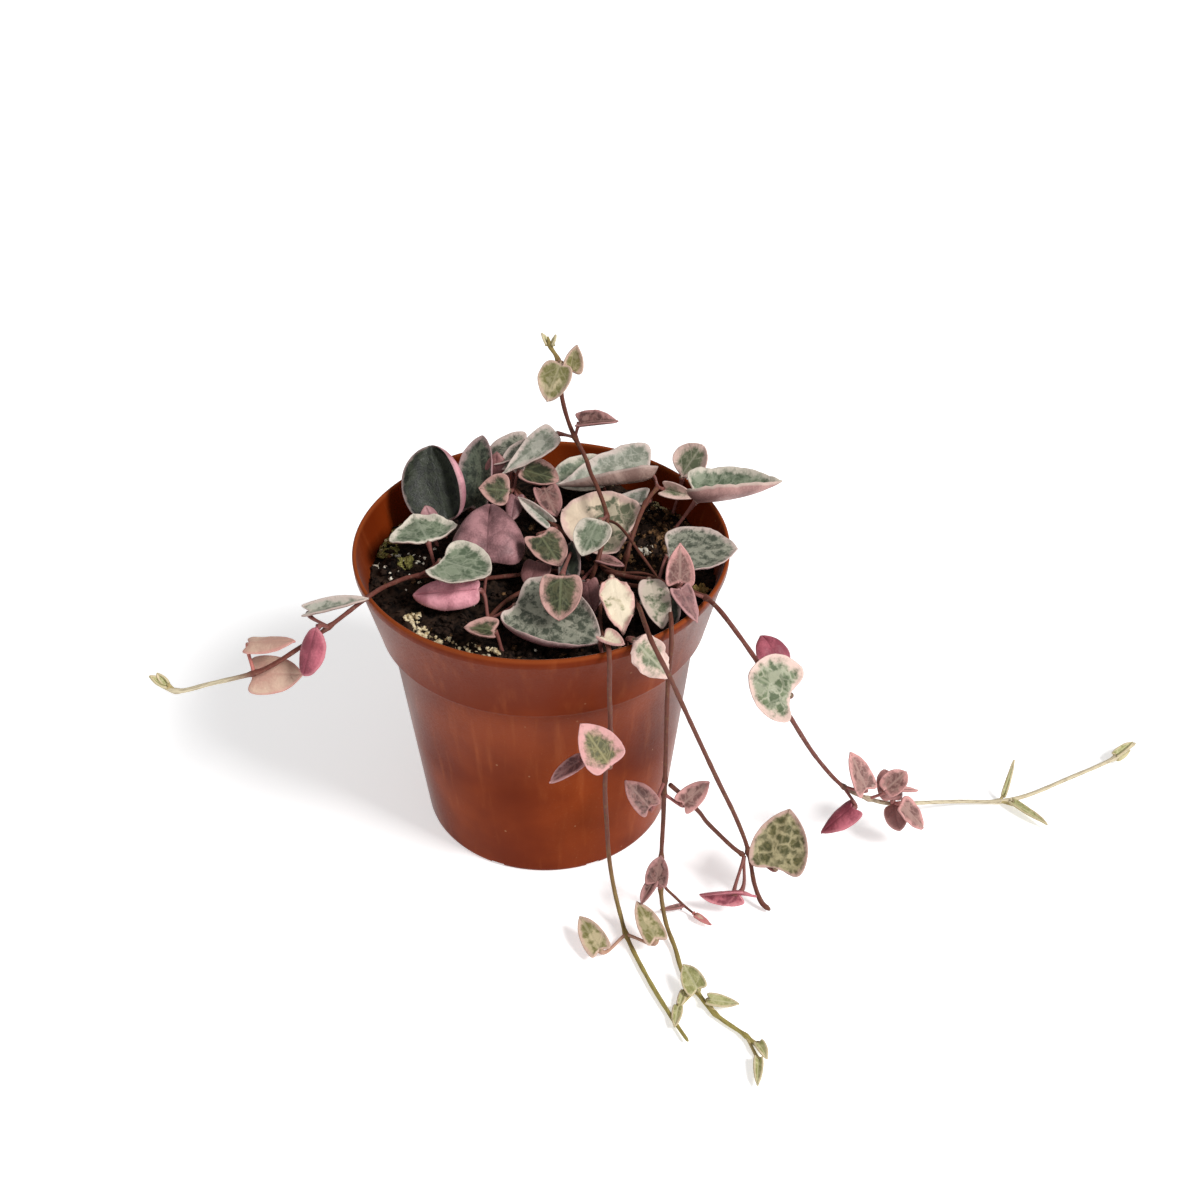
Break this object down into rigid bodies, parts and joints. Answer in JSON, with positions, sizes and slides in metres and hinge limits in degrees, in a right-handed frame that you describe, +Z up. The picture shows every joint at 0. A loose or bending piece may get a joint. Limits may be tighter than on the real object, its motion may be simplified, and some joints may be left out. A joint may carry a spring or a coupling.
{
  "type": "potted string of hearts plant",
  "caption": "Trailing string of hearts with variegated heart-shaped leaves, rooted in a filled terracotta-coloured nursery pot; stems spill over the rim and lie on the surface.",
  "frame": {"origin": "on the pot's axis, at the middle of its flat underside, on the surface the pot stands on", "axes": "+Z up along the pot's axis; -Y to the side where the long stems hang over the rim; +X to the side of the longest trailing stem"},
  "size_m": [0.2741, 0.1461, 0.1366],
  "materials": {
    "pot_plastic": "satin",
    "soil": "matte",
    "stem_brown": "satin",
    "leaf_dark": "satin",
    "leaf_mottled": "satin",
    "leaf_cream": "satin",
    "leaf_pink": "satin",
    "leaf_edged": "satin",
    "leaf_olive": "satin"
  },
  "bodies": {
    "root": {"pot": "pot_plastic", "soil": "soil", "stem_left": "stem_brown", "stem_right": "stem_brown", "stem_front_left": "stem_brown", "stem_front_middle": "stem_brown", "stem_front_right": "stem_brown", "stem_side_branch": "stem_brown", "stem_upright": "stem_brown", "stem_back_left": "stem_brown", "stem_back_right": "stem_brown", "stem_short_left": "stem_brown", "leaf_back_left_tall": "leaf_dark", "leaf_back_left_second": "leaf_dark", "leaf_back_grey": "leaf_mottled", "leaf_back_spoon": "leaf_mottled", "leaf_back_olive": "leaf_edged", "leaf_young_olive": "leaf_olive", "leaf_small_pink": "leaf_pink", "leaf_left_pink_dome": "leaf_pink", "leaf_left_heart": "leaf_mottled", "leaf_left_pink_low": "leaf_pink", "leaf_left_arrow": "leaf_mottled", "leaf_front_large": "leaf_mottled", "leaf_front_heart": "leaf_edged", "leaf_middle_edged": "leaf_edged", "leaf_middle_pale": "leaf_mottled", "leaf_middle_cream": "leaf_cream", "leaf_back_folded": "leaf_mottled", "leaf_back_veined": "leaf_mottled", "leaf_curled_pink": "leaf_cream", "leaf_back_right_small": "leaf_edged", "leaf_back_right_wide": "leaf_mottled", "leaf_right_large": "leaf_mottled", "leaf_right_heart_up": "leaf_pink", "leaf_right_pink_tip": "leaf_pink", "leaf_front_white": "leaf_cream", "leaf_front_cream": "leaf_cream", "leaf_over_rim": "leaf_cream", "leaf_top_heart": "leaf_olive", "leaf_top_folded": "leaf_pink", "leaf_left_vine_long": "leaf_mottled", "leaf_left_vine_pink": "leaf_pink", "leaf_left_vine_upper": "leaf_olive", "leaf_left_vine_lower": "leaf_olive", "leaf_right_vine_pink": "leaf_pink", "leaf_right_vine_heart": "leaf_mottled", "leaf_right_vine_low": "leaf_pink", "leaf_right_vine_up": "leaf_edged", "leaf_right_vine_bud": "leaf_pink", "leaf_right_vine_last": "leaf_pink", "leaf_front_vine_heart": "leaf_edged", "leaf_front_vine_dark": "leaf_pink", "leaf_front_vine_pair": "leaf_pink", "leaf_front_vine_diamond": "leaf_pink", "leaf_floor_left": "leaf_olive", "leaf_floor_right": "leaf_olive", "leaf_floor_large": "leaf_olive", "leaf_floor_folded": "leaf_pink"}
  },
  "joints": []
}
